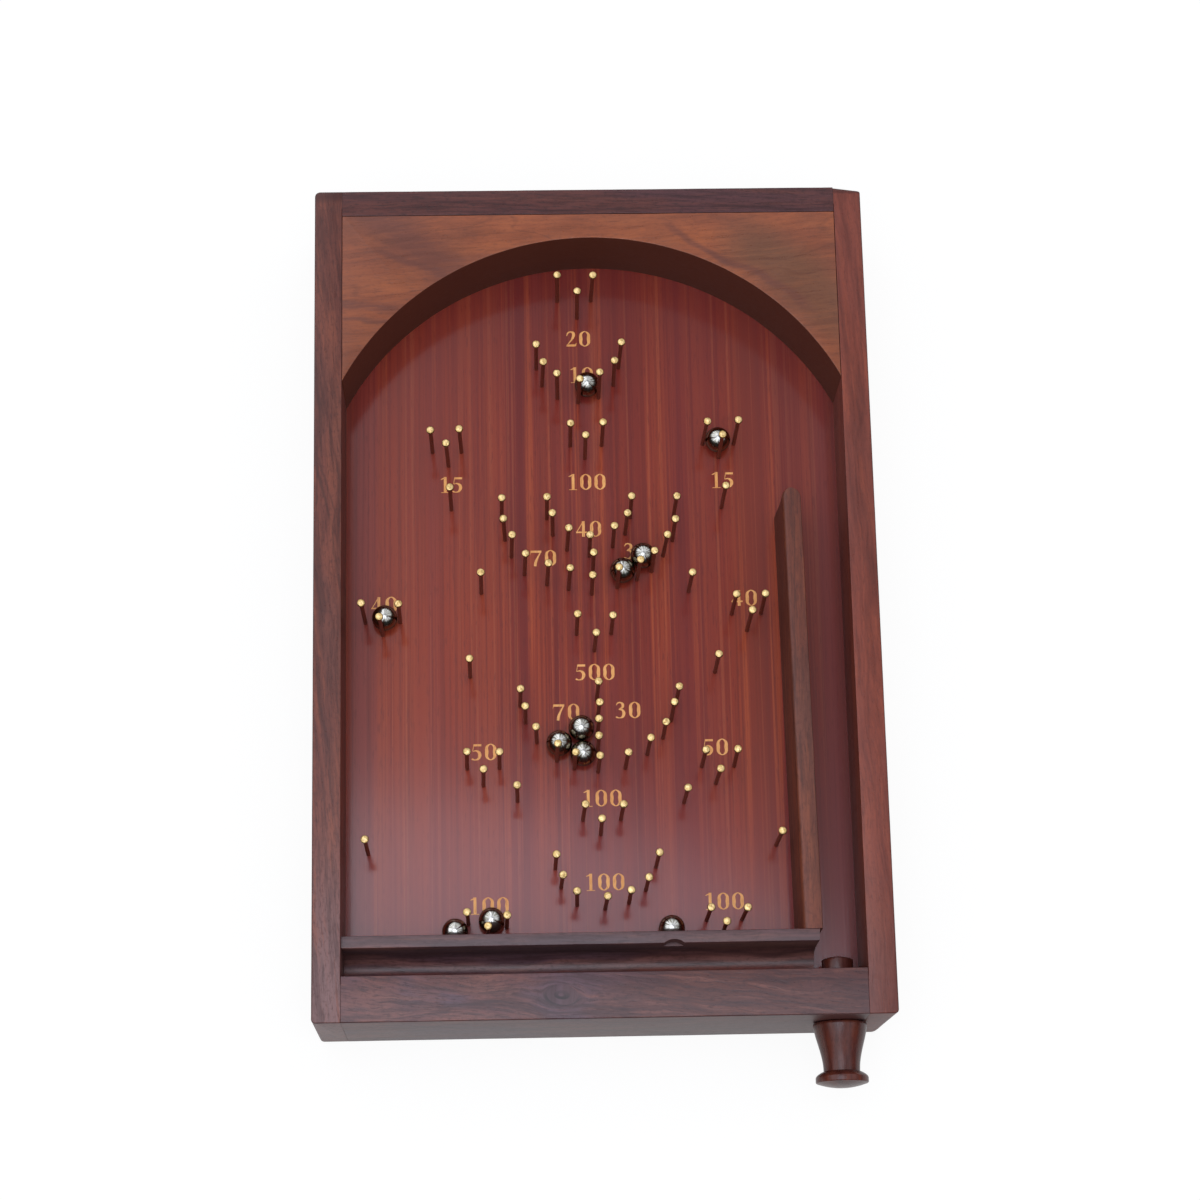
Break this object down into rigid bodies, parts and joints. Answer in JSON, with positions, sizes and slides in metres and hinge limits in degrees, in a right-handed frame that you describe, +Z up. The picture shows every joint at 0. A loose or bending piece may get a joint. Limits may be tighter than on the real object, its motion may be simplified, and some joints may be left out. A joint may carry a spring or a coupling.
{
  "type": "tabletop pinball game",
  "caption": "Wooden tabletop bagatelle tray with an arched top, brass nail pins, loose steel balls, a ball trough, a shooter lane and a sprung wooden plunger.",
  "frame": {"origin": "on the table, under the middle of the whole outline with the plunger's knob", "axes": "+Y towards the arched end, +X towards the shooter lane, +Z up"},
  "size_m": [0.2072, 0.3386, 0.05],
  "materials": {
    "rail_wood": "satin lacquered dark red-brown wood",
    "arch_wood": "satin warm brown wood with darker bands",
    "field_veneer": "satin striped red-brown veneer",
    "fence_wood": "satin dark brown wood",
    "gilt_print": "thin gilt print on the field, for the score figures",
    "nail_brass": "polished heads, browned shanks",
    "ball_steel": "polished",
    "knob_wood": "glossy turned dark wood",
    "spring_steel": "drawn wire"
  },
  "bodies": {
    "board": {"left_rail": "rail_wood", "right_rail": "rail_wood", "top_rail": "rail_wood", "front_rail": "rail_wood", "playfield": "field_veneer", "arch_block": "arch_wood", "trough_moulding": "fence_wood", "lane_divider": "fence_wood", "nails_top_cup": "nail_brass", "nails_upper_bowl": "nail_brass", "nails_upper_cups": "nail_brass", "nails_outer_funnel": "nail_brass", "nails_inner_funnel": "nail_brass", "nails_middle_cups": "nail_brass", "nails_lower_funnel": "nail_brass", "nails_centre_column": "nail_brass", "nails_lower_cups": "nail_brass", "nails_bottom_bowl": "nail_brass", "nails_bottom_cups": "nail_brass", "nails_guides": "nail_brass", "plunger_spring": "spring_steel"},
    "plunger": {"plunger_knob": "knob_wood", "plunger_rod": "knob_wood", "plunger_head": "knob_wood"},
    "ball_1": {"ball_1": "ball_steel"},
    "ball_2": {"ball_2": "ball_steel"},
    "ball_3": {"ball_3": "ball_steel"},
    "ball_4": {"ball_4": "ball_steel"},
    "ball_5": {"ball_5": "ball_steel"},
    "ball_6": {"ball_6": "ball_steel"},
    "ball_7": {"ball_7": "ball_steel"},
    "ball_8": {"ball_8": "ball_steel"},
    "ball_9": {"ball_9": "ball_steel"},
    "ball_10": {"ball_10": "ball_steel"},
    "ball_11": {"ball_11": "ball_steel"}
  },
  "joints": [
    {"name": "plunger_pull", "type": "slide", "parent": "board", "child": "plunger", "axis": [0, -1, 0], "range_m": [0, 0.01], "stiffness_N_per_m": 300, "springref_m": -0.003, "deforming": ["plunger_spring"]},
    {"name": "ball_1_lift", "type": "slide", "parent": "board", "child": "ball_1", "axis": [0, 0.0995, 0.995], "range_m": [0, 0.042]},
    {"name": "ball_2_lift", "type": "slide", "parent": "board", "child": "ball_2", "axis": [0, 0.1961, 0.9806], "range_m": [0, 0.042]},
    {"name": "ball_3_lift", "type": "slide", "parent": "board", "child": "ball_3", "axis": [0, 0.0995, 0.995], "range_m": [0, 0.042]},
    {"name": "ball_4_lift", "type": "slide", "parent": "board", "child": "ball_4", "axis": [0, 0.0995, 0.995], "range_m": [0, 0.042]},
    {"name": "ball_5_lift", "type": "slide", "parent": "board", "child": "ball_5", "axis": [0, 0.0995, 0.995], "range_m": [0, 0.042]},
    {"name": "ball_6_lift", "type": "slide", "parent": "board", "child": "ball_6", "axis": [0, 0.0499, 0.9988], "range_m": [0, 0.042]},
    {"name": "ball_7_lift", "type": "slide", "parent": "board", "child": "ball_7", "axis": [-0.0499, 0.0499, 0.9975], "range_m": [0, 0.042]},
    {"name": "ball_8_lift", "type": "slide", "parent": "board", "child": "ball_8", "axis": [-0.0499, 0.0499, 0.9975], "range_m": [0, 0.042]},
    {"name": "ball_9_lift", "type": "slide", "parent": "board", "child": "ball_9", "axis": [0, 0.0995, 0.995], "range_m": [0, 0.042]},
    {"name": "ball_10_lift", "type": "slide", "parent": "board", "child": "ball_10", "axis": [-0.099, 0.099, 0.9901], "range_m": [0, 0.042]},
    {"name": "ball_11_lift", "type": "slide", "parent": "board", "child": "ball_11", "axis": [0, 0, 1], "range_m": [0, 0.042]}
  ]
}
